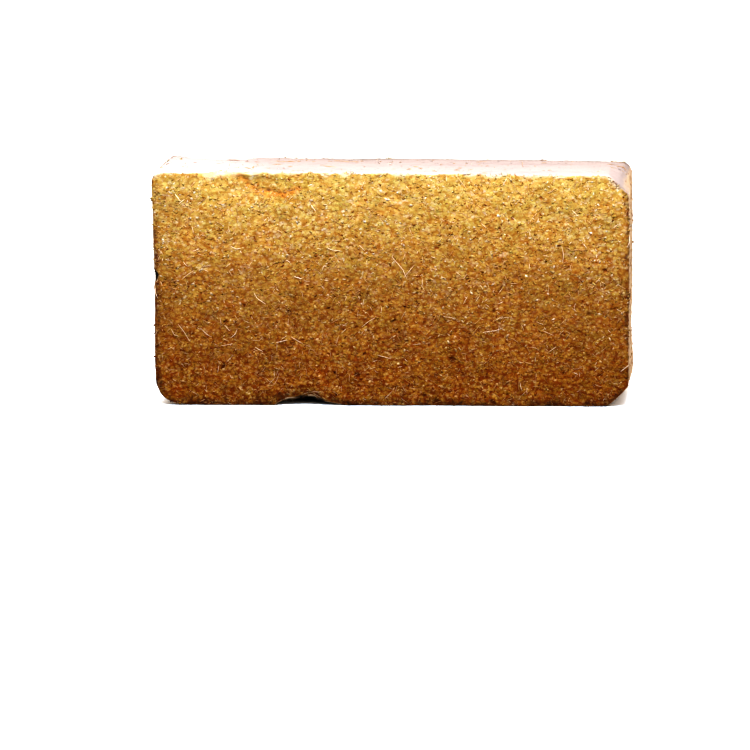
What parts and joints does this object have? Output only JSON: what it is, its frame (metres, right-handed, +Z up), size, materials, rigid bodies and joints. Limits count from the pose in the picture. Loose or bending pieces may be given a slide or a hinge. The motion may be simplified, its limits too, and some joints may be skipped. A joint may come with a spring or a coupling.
{
  "type": "coconut coir bale",
  "caption": "Brick of pressed coconut coir with rounded corners, worn edges and cracks between its pressed layers, standing on a long narrow side.",
  "frame": {"origin": "middle of the long narrow side that the bale rests on", "axes": "+X along the length, +Y through the thickness towards the back large face, +Z up"},
  "size_m": [0.2, 0.05, 0.0998],
  "materials": {
    "coir": "dry, rough, golden-brown pressed coir"
  },
  "bodies": {
    "root": {"coir_bale": "coir"}
  },
  "joints": []
}
